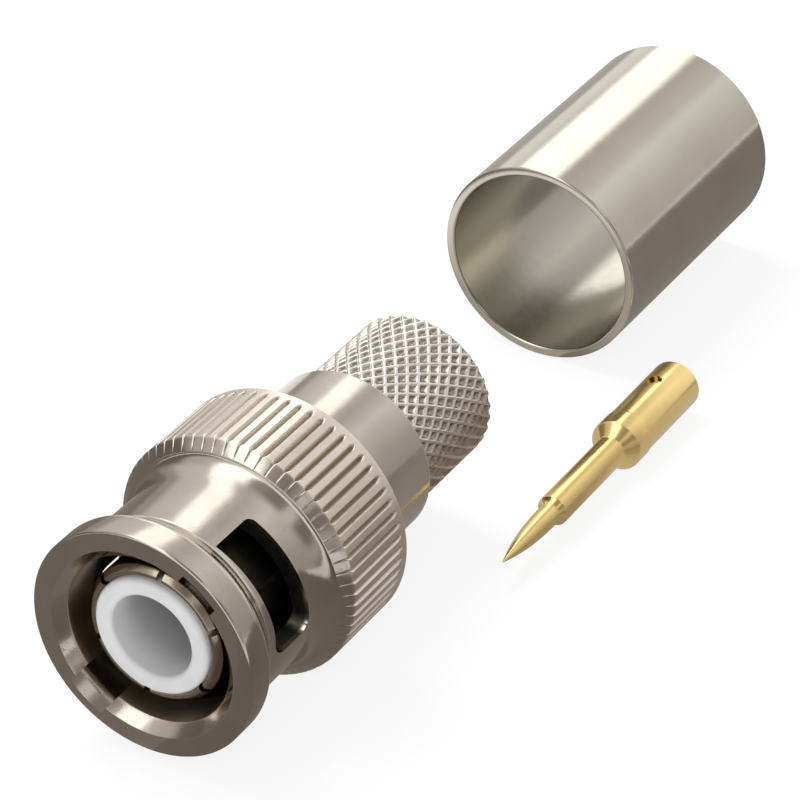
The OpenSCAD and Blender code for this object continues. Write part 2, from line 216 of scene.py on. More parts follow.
class Shader:
    """The node tree of a material or of the world."""

    def __init__(self, owner):
        owner.use_nodes = True
        self.owner, self.tree = owner, owner.node_tree
        self.tree.nodes.clear()

    def node(self, kind, settings=None, inputs=None, output=0):
        """Adds a node with its settings, then its inputs' values or links, and gives one output."""
        made = self.tree.nodes.new(kind)
        for key, setting in (settings or {}).items():
            if key == "stops":
                for _ in range(len(setting) - 2):
                    made.color_ramp.elements.new(0.5)
                for element, (place, colour) in zip(made.color_ramp.elements, setting):
                    element.position, element.color = place, (*colour, 1)
            else:
                setattr(made, key, setting)
        for key, value in (inputs or {}).items():
            if isinstance(value, Value):
                self.tree.links.new(value.socket, made.inputs[key])
            else:
                made.inputs[key].default_value = value
        return Value(self, made.outputs[output]) if len(made.outputs) else None

    def mix(self, share, a, b):
        """Colour a at share 0 and colour b at share 1."""
        full = [c if isinstance(c, Value) else (*c, 1) for c in (a, b)]
        return self.node(
            "ShaderNodeMix", {"data_type": "RGBA"}, {0: share, 6: full[0], 7: full[1]}, 2
        )

    def place(self, centre=(0, 0, 0)):
        """Place on the piece in millimetres, measured from a point given in millimetres."""
        scaled = self.node(
            "ShaderNodeVectorMath", {"operation": "SCALE"},
            {0: self.node("ShaderNodeTexCoord", output="Object"), "Scale": 1 / MM},
        )
        return self.node("ShaderNodeVectorMath", {"operation": "SUBTRACT"}, {0: scaled, 1: centre})

    def axes(self, place):
        """The three numbers of a place."""
        return [self.node("ShaderNodeSeparateXYZ", inputs={0: place}, output=i) for i in range(3)]

    def point(self, *numbers):
        return self.node("ShaderNodeCombineXYZ", inputs=dict(enumerate(numbers)))

    def noise(self, place, scale, detail=3.0, roughness=0.5):
        return self.node("ShaderNodeTexNoise", inputs={
            "Vector": place, "Scale": scale, "Detail": detail, "Roughness": roughness})

    def bump(self, height, strength, distance, normal=None):
        """Bump of a distance in millimetres, on top of another one if given."""
        values = {"Height": height, "Strength": strength, "Distance": distance * MM}
        if normal is not None:
            values["Normal"] = normal
        return self.node("ShaderNodeBump", inputs=values)

    def finish(self, **inputs):
        """A Principled surface with these inputs."""
        values = {key.replace("_", " "): value for key, value in inputs.items()}
        surface = self.node("ShaderNodeBsdfPrincipled", inputs=values)
        self.node("ShaderNodeOutputMaterial", inputs={"Surface": surface})
        return self.owner

    def seen(self):
        """1 for what the camera sees, also as a reflection or through something clear."""
        camera, glossy, through = (
            self.node("ShaderNodeLightPath", output=f"Is {ray} Ray")
            for ray in ("Camera", "Glossy", "Transmission"))
        return camera + glossy + through

    def glow(self, colour, strength):
        """A surface that only gives light."""
        light = self.node("ShaderNodeEmission", inputs={"Color": colour, "Strength": strength})
        self.node("ShaderNodeOutputMaterial", inputs={"Surface": light})
        return self.owner


def new_material(name):
    return Shader(bpy.data.materials.new(name))


# Finishes -----------------------------------------------------------------------------


class Zone(NamedTuple):
    """Part of a turned piece with its own colour, mostly painted shade and painted highlight.

    It fades in from radius start to radius full and reaches from first to last along the axis. There
    the metal has the zone's colour and is duller by this much.
    """

    start: float
    full: float
    first: float
    last: float
    colour: tuple
    duller: float


def shade_of(colour, share):
    """A colour made darker or lighter by a share, or by a share for each of its three parts."""
    shares = share if isinstance(share, tuple) else (share,) * 3
    return tuple(min(1.0, c * k) for c, k in zip(colour, shares))


def shaded_zone(start, full, first, last, colour):
    """A zone of nearly black painted shade for the insides that hardly any light reaches."""
    return Zone(start, full, first, last, shade_of(colour, 0.05), 0.3)


def turned_metal(name, colour, roughness, centre=(0, 0), grain=1.0, specks=0.0, cloud=1.0,
                 uneven=0.14, zones=(), shaded_below_from=None):
    """Plated turned metal: tool lines round the axis, cloudy plating, specks and zones.

    centre is the axis' (y, z), uneven is how much the zones vary in strength, and past
    shaded_below_from along the axis the underside is darker and browner with painted shade.
    """
    s = new_material(name)
    place = s.place((0, *centre))
    x, y, z = s.axes(place)
    radius = (y * y + z * z).root()
    lines = s.noise(s.point(x * 9, radius * 9, 0), 1.0, 4, 0.65)
    plating = s.noise(place, 0.35, 3, 0.55).ramp(0.35, 0.7)
    smudge = s.noise(place, 1.6, 4, 0.6).ramp(0.35, 0.75)
    speck = s.noise(place, 5.5, 2, 0.7).ramp(0.62, 0.74) * specks
    base = s.mix(plating * cloud, colour, shade_of(colour, (0.9, 0.885, 0.86)))
    rough = roughness + smudge * (0.06 * cloud) + lines * 0.03 + speck * 0.2
    fade = 0.25
    for zone in zones:
        low, high = (1.0, 0.0) if zone.full < zone.start else (0.0, 1.0)
        share = radius.ramp(min(zone[:2]), max(zone[:2]), low, high)
        share = share * x.ramp(zone.first, zone.first + fade)
        share = share * x.ramp(zone.last, zone.last + fade, 1.0, 0.0)
        share = share * (1 - uneven + smudge * uneven)
        base = s.mix(share, base, zone.colour)
        rough = rough + share * zone.duller
    # Painted shade: past this place the underside is darkened and browned, most where z is low
    if shaded_below_from is not None:
        underside_shade = z.ramp(-0.5, 3.4, 1.0, 0.0) * x.ramp(shaded_below_from, shaded_below_from + fade)
        base = s.mix(underside_shade * (0.6 + smudge * 0.3), base, shade_of(colour, (0.36, 0.31, 0.25)))
    base = s.mix(speck, base, shade_of(colour, 0.45))
    normal = s.bump(lines, 0.12 * grain, 0.012)
    normal = s.bump(smudge * cloud - speck * 1.5, 0.2, 0.015, normal)
    return s.finish(Base_Color=base, Metallic=1.0, Roughness=rough, Normal=normal)


def insulator_finish(name, colour):
    """Waxy white insulator with faint tool rings and painted shade deep in its bore."""
    s = new_material(name)
    place = s.place()
    x, y, z = s.axes(place)
    radius = (y * y + z * z).root()
    rings = s.noise(s.point(x * 6, radius * 6, 0), 1.0, 3, 0.6)
    cloud = s.noise(place, 0.9, 3, 0.5)
    base = s.mix(cloud.ramp(0.3, 0.8), colour, shade_of(colour, 0.94))
    # Painted shade, darker deep in the bore
    deep = radius.ramp(INSULATOR_BORE_R + 0.05, INSULATOR_BORE_R + 0.35, 1.0, 0.0)
    deep = deep * x.ramp(INSULATOR_X + 0.3, INSULATOR_X + 2.6)
    base = s.mix(deep * 0.9, base, shade_of(colour, 0.62))
    normal = s.bump(rings, 0.2, 0.02)
    return s.finish(
        Base_Color=base, Roughness=0.38 + cloud * 0.12, Normal=normal, IOR=1.38,
        Subsurface_Weight=0.25, Subsurface_Radius=(0.9, 0.9, 0.95), Subsurface_Scale=0.4 * MM,
    )


def rubber_finish(name, colour):
    """Matt moulded rubber with a fine grain and a pale bloom."""
    s = new_material(name)
    place = s.place()
    grain = s.noise(place, 9, 4, 0.65)
    bloom = s.noise(place, 1.2, 2, 0.5).ramp(0.45, 0.8)
    base = s.mix(bloom * 0.35, colour, (0.10, 0.10, 0.105))
    return s.finish(Base_Color=base, Roughness=0.62 + grain * 0.2, Normal=s.bump(grain, 0.3, 0.02))


# Meshes -------------------------------------------------------------------------------


def rounded(corners, steps=4):
    """Points (x, r) of a closed profile whose corners (x, r, rounding) are rounded where they say."""
    points = []
    for i, (x, r, size) in enumerate(corners):
        here = np.array((x, r), float)
        if not size:
            points.append(here)
            continue
        back = np.array(corners[i - 1][:2], float) - here
        ahead = np.array(corners[(i + 1) % len(corners)][:2], float) - here
        near, far = np.linalg.norm(back), np.linalg.norm(ahead)
        back, ahead = back / near, ahead / far
        half = math.acos(max(-1, min(1, float(back @ ahead)))) / 2
        reach = min(size / math.tan(half), 0.45 * near, 0.45 * far)
        size = reach * math.tan(half)
        middle = here + (back + ahead) / np.linalg.norm(back + ahead) * size / math.sin(half)
        first, last = here + back * reach - middle, here + ahead * reach - middle
        swing = math.pi - 2 * half
        for k in range(steps + 1):
            a = swing * k / steps
            points.append(
                middle + (math.sin(swing - a) * first + math.sin(a) * last) / math.sin(swing))
    return np.array(points)


def mesh_object(name, points, faces):
    """A mesh object with its faces outwards."""
    mesh = bpy.data.meshes.new(name)
    mesh.from_pydata((np.asarray(points, float) * MM).tolist(), [], faces)
    made = bmesh.new()
    made.from_mesh(mesh)
    bmesh.ops.remove_doubles(made, verts=made.verts, dist=1e-4 * MM)
    bmesh.ops.recalc_face_normals(made, faces=made.faces)
    made.to_mesh(mesh)
    made.free()
    return placed(name, mesh)


def placed(name, data):
    """An object with this mesh, lamp or camera, put in the scene."""
    obj = bpy.data.objects.new(name, data)
    bpy.context.collection.objects.link(obj)
    return obj


def turned(name, profile, angles, axis=(0, 0), cut=None):
    """A profile turned round a line along X at axis (y, z). cut is taken off each point's radius."""
    n, m = len(profile), len(angles)
    radius = np.repeat(profile[:, 1:2], m, axis=1)
    if cut is not None:
        radius = radius - cut
    points = np.stack([
        np.repeat(profile[:, 0:1], m, axis=1),
        axis[0] + radius * np.cos(angles), axis[1] + radius * np.sin(angles)], axis=2)
    rows = np.arange(n * m).reshape(n, m)
    across, along = np.roll(rows, -1, axis=1), np.roll(rows, -1, axis=0)
    both = np.roll(along, -1, axis=1)
    faces = np.stack([rows, across, both, along], axis=2).reshape(-1, 4)
    return mesh_object(name, points.reshape(-1, 3), faces.tolist())


def evenly(count):
    """So many angles, evenly round a turn."""
    return np.arange(count) * (2 * math.pi / count)


def lofted(name, rings):
    """A closed solid through rings of points."""
    n = len(rings[0])
    points = [p for ring in rings for p in ring]
    faces = [
        (i * n + k, i * n + (k + 1) % n, (i + 1) * n + (k + 1) % n, (i + 1) * n + k)
        for i in range(len(rings) - 1) for k in range(n)]
    faces += [tuple(range(n)), tuple(range(len(points) - n, len(points)))]
    return mesh_object(name, points, faces)


def round_axis(x, r, angle):
    """The point at a place along the plug's axis, a radius and an angle."""
    return (x, r * math.cos(angle), r * math.sin(angle))


def cut_away(obj, cutters):
    """Takes the cutters' solids off an object and deletes them."""
    for cutter in cutters:
        tool = obj.modifiers.new("Cut", "BOOLEAN")
        tool.operation, tool.solver, tool.object = "DIFFERENCE", "MANIFOLD", cutter
        depsgraph = bpy.context.evaluated_depsgraph_get()
        mesh = bpy.data.meshes.new_from_object(obj.evaluated_get(depsgraph))
        obj.modifiers.clear()
        if not mesh.polygons:
            raise RuntimeError(f"cutting {obj.name} with {cutter.name} left nothing")
        obj.data = mesh
        bpy.data.objects.remove(cutter)


def coated(obj, material):
    """Gives an object its finish."""
    obj.data.materials.clear()
    obj.data.materials.append(material)


def dressed(obj, body, material, node, sharp=40.0):
    """Shades a piece, gives it its finish and lets it ride on its body and stand for its node."""
    obj.data.name = obj.name
    coated(obj, material)
    obj.data.shade_smooth()
    obj.data.set_sharp_from_angle(angle=math.radians(sharp))
    weighted = obj.modifiers.new("Even shading", "WEIGHTED_NORMAL")
    weighted.keep_sharp = True
    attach(obj, body)
    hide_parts(node)


# Pieces -------------------------------------------------------------------------------


def corner_inset(radius, along):
    """How far a rounded corner stands in from the slot's edge, this far along from the slot's end."""
    return radius - math.sqrt(radius ** 2 - (radius - along) ** 2) if along < radius else 0.0


class PLUG_OT_coupling_nut(bpy.types.Operator):
    """Builds the knurled coupling nut with its entry grooves and bayonet slots"""

    bl_idname = "plug.coupling_nut"
    bl_label = "Coupling nut"

    def profile(self):
        """The nut's closed profile, and how much of the knurl's depth each point takes."""
        fillet = [
            (FLANGE_BACK + FILLET_LEN * t,
             NECK_R + (FLANGE_R - NECK_R) * (1 + math.cos(math.pi * t)) / 2, 0)
            for t in np.linspace(0, 1, 15)]
        shoulder = [
            (SHOULDER_X + SHOULDER_LEN * math.sin(t),
             SHOULDER_R - (SHOULDER_R - NECK_R) * math.cos(t), 0)
            for t in np.linspace(0, math.pi / 2, 13)[:-1]]
        corners = (
            [(0, MOUTH_R + LEAD_IN, 0.07), (0, FLANGE_R, 0.15)] + fillet + shoulder
            + [(BEVEL_X, SHOULDER_R, 0.12), (KNURL_X, NUT_R, 0.2)]
            + [(x, NUT_R, 0) for x in KNURL_POINTS]
            + [(NUT_LEN - REAR_BEVEL, NUT_R, 0.08), (NUT_LEN, NUT_R - REAR_BEVEL, 0.08)]
            + [(NUT_LEN, CHAMBER_R + REAR_BEVEL, 0.05), (NUT_LEN - REAR_BEVEL, CHAMBER_R, 0.05)]
            + [(RING_GROOVE_END, CHAMBER_R, 0.04), (RING_GROOVE_END, RING_GROOVE_R, 0)]
            + [(RING_GROOVE_X, RING_GROOVE_R, 0), (RING_GROOVE_X, CHAMBER_R, 0.04)]
            + [(CHAMBER_X, CHAMBER_R, 0), (CHAMBER_X, MOUTH_R, 0.05)]
            + [(LEAD_IN, MOUTH_R, 0.12)])
        points = rounded(corners)
        x, r = points[:, 0], points[:, 1]
        into = np.clip((x - GROOVES_X) / RUN_OUT, 0, 1)
        out = np.clip((GROOVES_END - x) / RUN_OUT, 0, 1)
        share = (1 - (1 - into) ** 2) * (1 - (1 - out) ** 2)
        return points, np.where(r > SHOULDER_R + 0.2, share, 0.0)

    def knurled(self, sizes):
        """The turned nut with its straight grooves."""
        count = sizes.knurls
        pitch = 2 * math.pi / count
        # Points from the middle of a groove to the middle of a rib, as shares of that distance
        half = np.array([0, 0.12, 0.24, 0.36, 0.48, 0.6, 0.8])
        offsets = np.sort(np.concatenate([half, 2 - half[:0:-1], [1.0]])) * pitch / 2
        angles = (np.arange(count)[:, None] * pitch + offsets[None, :]).ravel() + pitch / 2
        points, share = self.profile()
        beside = np.minimum(offsets, pitch - offsets) * NUT_R * MM / sizes.knurl_width
        beside = np.tile(beside, count)
        groove = sizes.knurl_depth / MM * np.clip(share[:, None] - beside[None, :], 0, 1)
        return turned("coupling_nut_turned", points, angles, cut=groove)

    def slot_cutter(self, start):
        """Solid of a helical slot that starts at an angle and ends in a rounded seat for the lug."""
        inner, outer = MOUTH_R - 0.1, FLANGE_R + 0.1
        rings = []
        for share in np.linspace(0, 1, 49):
            angle = SLOT_ARC * (1 - math.cos(math.pi * share)) / 2
            to_start = math.radians(angle) * NECK_R
            to_end = math.radians(SLOT_ARC - angle) * NECK_R
            dip = SEAT_DEPTH * (1 - math.cos(math.pi * max(0.0, 1 - to_end / SEAT_REACH))) / 2
            ramp = SLOT_X + SLOT_RISE * angle / SLOT_ARC
            end_inset = corner_inset(END_ROUNDING, to_end)
            front = ramp - dip + end_inset
            rear = ramp + SLOT_WIDTH - end_inset - corner_inset(START_ROUNDING, to_start)
            rings.append([
                round_axis(x, r, start + math.radians(angle))
                for x, r in ((front, inner), (front, outer), (rear, outer), (rear, inner))])
        return lofted("slot_cutter", rings)

    def groove_cutter(self, middle):
        """Solid of an axial entry groove round an angle, flared at the mouth."""
        inner = 4.0
        flare = (
            (-1.0, GROOVE_R + 0.45), (0, GROOVE_R + 0.45), (0.5, GROOVE_R + 0.2),
            (0.9, GROOVE_R), (4.5, GROOVE_R))
        rings = []
        for x, top in flare:
            high, low = math.asin(LUG_HALF / top), math.asin(LUG_HALF / inner)
            rings.append(
                [round_axis(x, top, middle + high * t) for t in np.linspace(-1, 1, 15)]
                + [round_axis(x, inner, middle + low * t) for t in (1, -1)])
        return lofted("groove_cutter", rings)

    def execute(self, context):
        nut = self.knurled(context.scene.plug_sizes)
        cutters = []
        for middle in (GROOVE_ANGLE, GROOVE_ANGLE + math.pi):
            cutters.append(self.slot_cutter(middle - math.asin(LUG_HALF / NECK_R)))
            cutters.append(self.groove_cutter(middle))
        cut_away(nut, cutters)
        colour = tuple(context.scene.plug_colours.nickel)
        # Painted shade: the knurl's groove roots are darker and warmer than the plate
        grooves = Zone(
            NUT_R - 0.04, NUT_R - 0.24, BEVEL_X + 0.35, NUT_LEN,
            shade_of(colour, (0.92, 0.87, 0.83)), 0.2)
        # Painted highlight: the knurl's ribs are lighter than the plate
        ribs = Zone(
            NUT_R - 0.14, NUT_R - 0.04, BEVEL_X + 0.45, NUT_LEN,
            shade_of(colour, (1.42, 1.4, 1.4)), 0.2)
        mouth = Zone(
            MOUTH_R + 0.4, MOUTH_R + 0.15, 0.45, 2.8, shade_of(colour, (0.95, 0.84, 0.74)), 0.22)
        # Painted shade: the nut's bore behind the mouth, seen through the slots, is nearly black
        inside = shaded_zone(NECK_R - 0.06, NECK_R - 0.3, 2.8, CHAMBER_X + 1, colour)
        finish = turned_metal(
            "nickel plate of nut", colour, 0.11, specks=0.25, cloud=0.6,
            zones=(grooves, ribs, mouth, inside))
        dressed(nut, "nut", finish, "coupling_nut", sharp=52)
        return {"FINISHED"}


class PLUG_OT_plug_body(bpy.types.Operator):
    """Builds the plug body with its smooth collar and its ridged crimp stem"""

    bl_idname = "plug.plug_body"
    bl_label = "Plug body"

    def profile(self):
        rows = np.linspace(COLLAR_END + 0.02, STEM_END - 0.15, 88)
        return rounded(
            [(BODY_X, CONTACT_SEAT_R, 0), (BODY_X, BODY_FLANGE_R, 0.15)]
            + [(BODY_FLANGE_END, BODY_FLANGE_R, 0.15), (BODY_FLANGE_END, COLLAR_R, 0.03)]
            + [(COLLAR_END, COLLAR_R, 0.16), (COLLAR_END, STEM_R - 0.02, 0.0)]
            + [(x, STEM_R, 0) for x in rows]
            + [(STEM_END, STEM_R - 0.2, 0.03), (STEM_END, BORE_R + 0.15, 0.03)]
            + [(STEM_END - 0.15, BORE_R, 0), (BEAD_SEAT_END, BORE_R, 0)]
            + [(BEAD_SEAT_END, BEAD_SEAT_R, 0), (CONTACT_SEAT_END, BEAD_SEAT_R, 0)]
            + [(CONTACT_SEAT_END, CONTACT_SEAT_R, 0)])

    def execute(self, context):
        sizes = context.scene.plug_sizes
        points = self.profile()
        angles = evenly(sizes.stem_pits * 14)
        around = angles[None, :] * sizes.stem_pits / (2 * math.pi)
        along = (points[:, 0:1] - COLLAR_END) * MM / sizes.stem_rows
        first = np.abs((around + along) % 1 - 0.5)
        second = np.abs((around - along) % 1 - 0.5)
        ridge_half, pit_wall = 0.10, 0.26
        inside = np.clip((0.5 - np.maximum(first, second) - ridge_half) / pit_wall, 0, 1)
        on_stem = np.isclose(points[:, 1:2], STEM_R)
        cut = np.where(on_stem, sizes.stem_depth / MM * inside ** 0.8, 0)
        body = turned("plug_body_turned", points, angles, cut=cut)
        colour = tuple(context.scene.plug_colours.nickel)
        # Painted shade: the stem's pits are darker than the plate
        pits = Zone(
            STEM_R - 0.03, STEM_R - 0.19, COLLAR_END - 0.3, STEM_END, shade_of(colour, 0.64), 0.15)
        # Painted highlight: the stem's ridges are lighter and whiter than the plate
        ridges = Zone(
            STEM_R - 0.1, STEM_R - 0.02, COLLAR_END, STEM_END,
            shade_of(colour, (1.56, 1.6, 1.75)), 0.16)
        # Painted shade: the bore at the stem's end is a little darker
        bore = Zone(
            BORE_R + 0.15, BORE_R + 0.05, COLLAR_END - 0.5, STEM_END + 1,
            shade_of(colour, 0.95), 0.12)
        # Painted shade: the body's front, hidden inside the nut, is nearly black
        front = shaded_zone(STEM_R, STEM_R + 0.05, BODY_X - 1, BODY_X + 1, colour)
        # Past the collar the stem's underside is darkened and browned with painted shade
        finish = turned_metal(
            "nickel plate of body", colour, 0.11, cloud=0.5, uneven=0.4,
            zones=(pits, ridges, bore, front), shaded_below_from=COLLAR_END)
        dressed(body, "plug", finish, "plug_body", sharp=60)
        return {"FINISHED"}


class PLUG_OT_outer_contact(bpy.types.Operator):
    """Builds the slotted tube of spring fingers"""

    bl_idname = "plug.outer_contact"
    bl_label = "Outer contact"

    def finger_cutter(self, front, angle):
        """Solid of the gap between two fingers."""
        side = FINGER_GAP / 2
        section = ((2.6, -side), (5, -side), (5, side), (2.6, side))
        return lofted("finger_cutter", [
            [round_axis(x, math.hypot(r, y), angle + math.atan2(y, r)) for r, y in section]
            for x in (front - 1, front + FINGER_LEN)])

    def execute(self, context):
        front, end = (corner.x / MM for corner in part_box("outer_contact"))
        corners = [
            (front, CONTACT_BORE_R + 0.15, 0.05), (front, CONTACT_R - 0.3, 0.1),
            (front + 0.3, CONTACT_R, 0.12), (end, CONTACT_R, 0.03), (end, CONTACT_BORE_R, 0.03),
            (front + 0.15, CONTACT_BORE_R, 0.05)]
        tube = turned("outer_contact_fingers", rounded(corners), evenly(192))
        step = 360 / FINGERS
        cut_away(tube, [
            self.finger_cutter(front, GROOVE_ANGLE + math.radians(step * i - step / 2))
            for i in range(FINGERS)])
        colour = tuple(context.scene.plug_colours.nickel)
        inside = shaded_zone(CONTACT_BORE_R - 0.25, CONTACT_BORE_R - 0.1, front + 0.5, end, colour)
        # Painted shade: the contact, deep in the nut's mouth, is darker and browner than the plate
        finish = turned_metal(
            "nickel plate of contact", shade_of(colour, (0.72, 0.68, 0.62)), 0.14, zones=(inside,))
        dressed(tube, "plug", finish, "outer_contact")
        return {"FINISHED"}


class PLUG_OT_insulators(bpy.types.Operator):
    """Builds the white front insulator and finishes the rear one and the gasket"""

    bl_idname = "plug.insulators"
    bl_label = "Insulators"

    def execute(self, context):
        colours = context.scene.plug_colours
        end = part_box("front_insulator")[1].x / MM
        corners = [
            (INSULATOR_X, INSULATOR_BORE_R, 0.28), (INSULATOR_X, INSULATOR_R, 0.26),
            (end, INSULATOR_R, 0.05), (end, PIN_HOLE_R, 0.02),
            (INSULATOR_BORE_END, PIN_HOLE_R, 0.05), (INSULATOR_BORE_END, INSULATOR_BORE_R, 0.1)]
        ring = turned("front_insulator_turned", rounded(corners, 6), evenly(192))
        white = insulator_finish("insulator white", tuple(colours.insulator))
        dressed(ring, "plug", white, "front_insulator")
        coated(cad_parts["rear_insulator"], white)
        rubber = rubber_finish("gasket rubber", tuple(colours.rubber))
        coated(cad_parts["gasket"], rubber)
        return {"FINISHED"}


class PLUG_OT_spring_pack(bpy.types.Operator):
    """Builds the wave washers and finishes the thrust washer and the retaining ring"""

    bl_idname = "plug.spring_pack"
    bl_label = "Spring pack"

    def wave_washer(self, node, turn):
        """A ring of thin spring strip that waves along the axis."""
        low, high = (corner.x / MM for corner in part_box(node))
        swing = (high - low - WAVE_T) / 2
        bore, rim, edge = WAVE_BORE_R, WAVE_R, WAVE_EDGE
        section = (
            (edge, bore), (0, bore + edge), (0, rim - edge), (edge, rim), (WAVE_T - edge, rim),
            (WAVE_T, rim - edge), (WAVE_T, bore + edge), (WAVE_T - edge, bore))
        rings = []
        for a in evenly(144):
            x = low + swing * (1 + math.sin(WAVES * a))
            rings.append([round_axis(x + dx, r, a + turn) for dx, r in section])
        n, m = len(rings), len(section)
        faces = [
            (i * m + k, i * m + (k + 1) % m, (i + 1) % n * m + (k + 1) % m, (i + 1) % n * m + k)
            for i in range(n) for k in range(m)]
        return mesh_object(node + "_spring", [p for ring in rings for p in ring], faces)

    def execute(self, context):
        colours = context.scene.plug_colours
        steel = turned_metal("spring steel", tuple(colours.steel), 0.24, grain=1.6)
        for node, turn in (("wave_washer_front", 0), ("wave_washer_rear", math.pi / 3)):
            piece = self.wave_washer(node, turn)
            dressed(piece, "plug", steel, node)
            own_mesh(piece)
        nickel = turned_metal("nickel plate", tuple(colours.nickel), 0.13)
        coated(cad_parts["retaining_ring"], steel)
        coated(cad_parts["thrust_washer"], nickel)
        return {"FINISHED"}


def resting_axis(node):
    """Axis (y, z) of a tube or pin that lies on the floor, its radius and its two ends."""
    low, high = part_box(node)
    radius = (high.y - low.y) / 2
    middle = (low.y + high.y) / 2
    return (middle / MM, (FLOOR_Z + radius) / MM), radius / MM, low.x / MM, high.x / MM


class PLUG_OT_crimp_sleeve(bpy.types.Operator):
    """Builds the thin-walled crimp sleeve"""

    bl_idname = "plug.crimp_sleeve"
    bl_label = "Crimp sleeve"

    def execute(self, context):
        axis, radius, front, end = resting_axis("crimp_sleeve")
        inner = radius - SLEEVE_WALL
        corners = [
            (front, radius, 0.12), (end, radius, 0.12), (end, inner, 0.14), (front, inner, 0.14)]
        tube = turned("crimp_sleeve_tube", rounded(corners, 5), evenly(256), axis)
        colour = shade_of(tuple(context.scene.plug_colours.nickel), (0.99, 1.015, 0.99))
        # Painted shade: the sleeve's bore is a little darker than its outside
        inside = Zone(
            inner + 0.2, inner + 0.1, front, end, shade_of(colour, (0.82, 0.83, 0.82)), 0.09)
        finish = turned_metal(
            "nickel plate of sleeve", colour, 0.12, axis, grain=0.4, cloud=0.4, zones=(inside,))
        dressed(tube, "plug", finish, "crimp_sleeve")
        return {"FINISHED"}


class PLUG_OT_centre_contact(bpy.types.Operator):
    """Builds the gilt centre contact"""

    bl_idname = "plug.centre_contact"
    bl_label = "Centre contact"

    def execute(self, context):
        axis, barrel, front, end = resting_axis("centre_contact")
        tip, collar, well = front + TIP_LEN, front + BARREL_X, end - WELL_DEPTH
        ogive = [
            (front + (TIP_LEN - 0.2) * t, TIP_R * (1 - (1 - t) ** 2.4), 0)
            for t in np.linspace(0, 1, 30) ** 1.4]
        corners = ogive + [
            (tip, SHAFT_R - 0.12, 0.1), (tip + 0.12, SHAFT_R, 0.05),
            (collar - 0.65, SHAFT_R, 0.25), (collar, barrel, 0.3),
            (collar + BARREL_COLLAR_LEN, barrel, 0.06),
            (collar + BARREL_COLLAR_LEN + 0.12, barrel - BARREL_STEP, 0.06),
            (end, barrel - BARREL_STEP, 0.1), (end, WELL_R, 0.08), (well, WELL_R, 0),
            (well - WELL_R * math.tan(DRILL_ANGLE), 0, 0)]
        pin = turned("centre_contact_turned", rounded(corners), evenly(128), axis)
        outwards = Vector((0, math.cos(PEEP_ANGLE), math.sin(PEEP_ANGLE)))
        side = Vector((0, -math.sin(PEEP_ANGLE), math.cos(PEEP_ANGLE)))
        middle = Vector((end - PEEP_FROM_END, *axis))
        rings = []
        for depth in (0.2, barrel + 1):
            rings.append([
                tuple(middle + outwards * depth
                      + PEEP_R * (Vector((1, 0, 0)) * math.cos(a) + side * math.sin(a)))
                for a in evenly(40)])
        cut_away(pin, [lofted("peep_cutter", rings)])
        colour = tuple(context.scene.plug_colours.gilt)
        finish = turned_metal("gold plate", colour, 0.18, axis, grain=0.4, cloud=0.5)
        dressed(pin, "plug", finish, "centre_contact")
        return {"FINISHED"}


# Studio -------------------------------------------------------------------------------

CAMERA_PLACE, CAMERA_AIM = (-116.66, -84.95, 110.28), (0.71488, 0.42769, -0.55320)
SENSOR, LENS = 36, 162
TENT_R, TENT_FRONT, TENT_BACK = 260.0, -400.0, 440.0
# Where along the axis the tent's levels change from ahead to beside, and from beside to beyond
AHEAD_TO_BESIDE, BESIDE_TO_BEYOND = (-20, 120), (288, 304)
CARD_FRONT, CARD_BACK, CARD_SIDE = -60, 240, TENT_R + 2
BRIGHTEST = 2.0
# Brightness of the tent by the angle round the plug's axis in degrees, from the far side over the top
TENT_AHEAD = (
    (-4, 0.16), (20, 0.2), (28, 0.6), (40, 0.62), (52, 0.75), (57, 1.95), (83, 1.95), (90, 0.42),
    (112, 0.28), (122, 0.3), (128, 0.8), (136, 0.75), (142, 0.25), (158, 0.25), (168, 0.55),
    (184, 0.18))
TENT_BESIDE = (
    (-4, 0.38), (10, 0.42), (20, 0.72), (44, 0.8), (50, 0.9), (54, 1.8), (74, 1.8), (82, 0.72),
    (92, 0.6), (104, 0.72), (116, 0.86), (128, 0.74), (140, 0.66), (152, 0.56), (164, 0.48),
    (184, 0.42))
TENT_BEYOND = (
    (-4, 1.0), (12, 0.98), (23, 0.8), (28, 1.95), (67, 1.95), (75, 0.58), (92, 0.7), (104, 0.75),
    (116, 0.94), (128, 0.86), (140, 0.77), (152, 0.68), (184, 0.6))
# Brightness of the cards by the place along the axis where their slanting stripes start
NEAR_CARD = (
    (-60, 0.8), (-44, 0.8), (-36, 0.16), (2, 0.2), (8, 0.25), (15, 0.36), (20, 0.32), (25, 0.5),
    (37, 0.55), (42, 0.28), (60, 0.27), (200, 0.3))
FAR_CARD = (
    (-200, 0.22), (-8, 0.22), (2, 0.28), (7, 0.45), (12, 1.0), (19, 1.05), (30, 0.5), (200, 0.48))
# Below this level the light turns warm, by these shares of red, green and blue
WARM_BELOW, WARMTH = 0.9, (0, 0.13, 0.2)


def graded(s, value, levels):
    """Light that follows a list of (value, level), as a share of the brightest level."""
    low, high = levels[0][0], levels[-1][0]
    share = s.node("ShaderNodeMapRange", inputs={"Value": value, "From Min": low, "From Max": high})
    stops = []
    for at, level in levels:
        dim = max(0.0, 1 - level / WARM_BELOW)
        tint = (level / BRIGHTEST * (1 - warm * dim) for warm in WARMTH)
        stops.append(((at - low) / (high - low), tuple(tint)))
    return s.node("ShaderNodeValToRGB", {"stops": stops}, {0: share})


